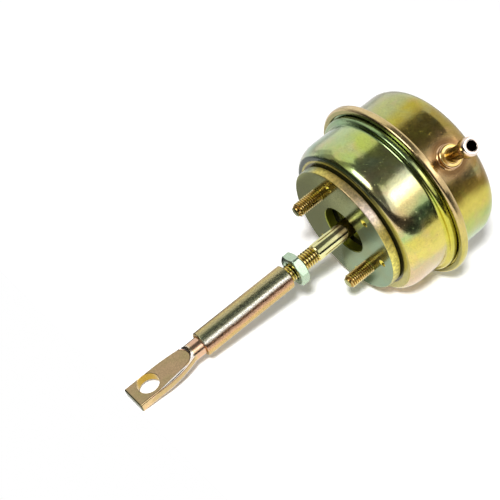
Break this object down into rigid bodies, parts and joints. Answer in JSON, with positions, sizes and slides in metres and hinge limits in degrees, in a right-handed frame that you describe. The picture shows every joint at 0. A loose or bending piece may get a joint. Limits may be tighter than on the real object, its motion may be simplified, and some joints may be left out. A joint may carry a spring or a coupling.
{
  "type": "wastegate actuator",
  "caption": "Drawn-steel diaphragm canister with a rolled seam, a hose nipple, a round stud plate and a sprung rod with lock nut, adjuster sleeve and flattened eye end.",
  "frame": {"origin": "centre of the mounting plate's front face, where it meets the rod's axis, midway between the two studs", "axes": "+X along the rod, out of the mounting face towards the rod end; +Z square to the flat of the rod end, on the side that the picture shows; +Y completes the right-handed frame. Round the rod, from +Y towards +Z, the studs stand at 135 and 315 degrees and the hose nipple at 47 degrees"},
  "size_m": [0.1646, 0.083, 0.0847],
  "materials": {
    "yellow_zinc": "yellow passivated zinc plate, glossy, with green and pink bloom",
    "plate_zinc": "yellow passivated zinc plate, satin, green",
    "stud_zinc": "yellow passivated zinc plate, gold",
    "clear_zinc": "clear passivated zinc plate, satin",
    "inner_steel": "oiled steel",
    "diaphragm_rubber": "fabric-backed, matte",
    "bush_bronze": "sintered, matte",
    "seal_plastic": "matte"
  },
  "bodies": {
    "housing": {"front_can": "yellow_zinc", "rear_can": "yellow_zinc", "mounting_plate": "plate_zinc", "stud_upper": "stud_zinc", "stud_lower": "stud_zinc", "hose_nipple": "yellow_zinc", "diaphragm": "diaphragm_rubber", "return_spring": "inner_steel", "spring_seat": "inner_steel", "guide_bush": "bush_bronze", "rod_seal": "seal_plastic", "seal_washer": "inner_steel"},
    "rod_assembly": {"actuator_rod": "yellow_zinc", "piston_cup": "inner_steel", "diaphragm_retainer": "inner_steel", "shoulder_washer": "inner_steel"},
    "nut": {"lock_nut": "clear_zinc"},
    "rod_end_assembly": {"adjuster_sleeve": "yellow_zinc", "rod_end": "yellow_zinc"}
  },
  "joints": [
    {"name": "rod_slide", "type": "slide", "parent": "housing", "child": "rod_assembly", "axis": [1, 0, 0], "range_m": [0, 0.012], "stiffness_N_per_m": 5000, "deforming": ["return_spring", "diaphragm"]},
    {"name": "lock_nut_turn", "type": "hinge", "parent": "rod_assembly", "child": "nut", "pos_m": [0.0263, 0, 0], "axis": [1, 0, 0], "continuous": true},
    {"name": "adjuster_turn", "type": "hinge", "parent": "rod_assembly", "child": "rod_end_assembly", "pos_m": [0.0538, 0, 0], "axis": [1, 0, 0], "continuous": true}
  ]
}
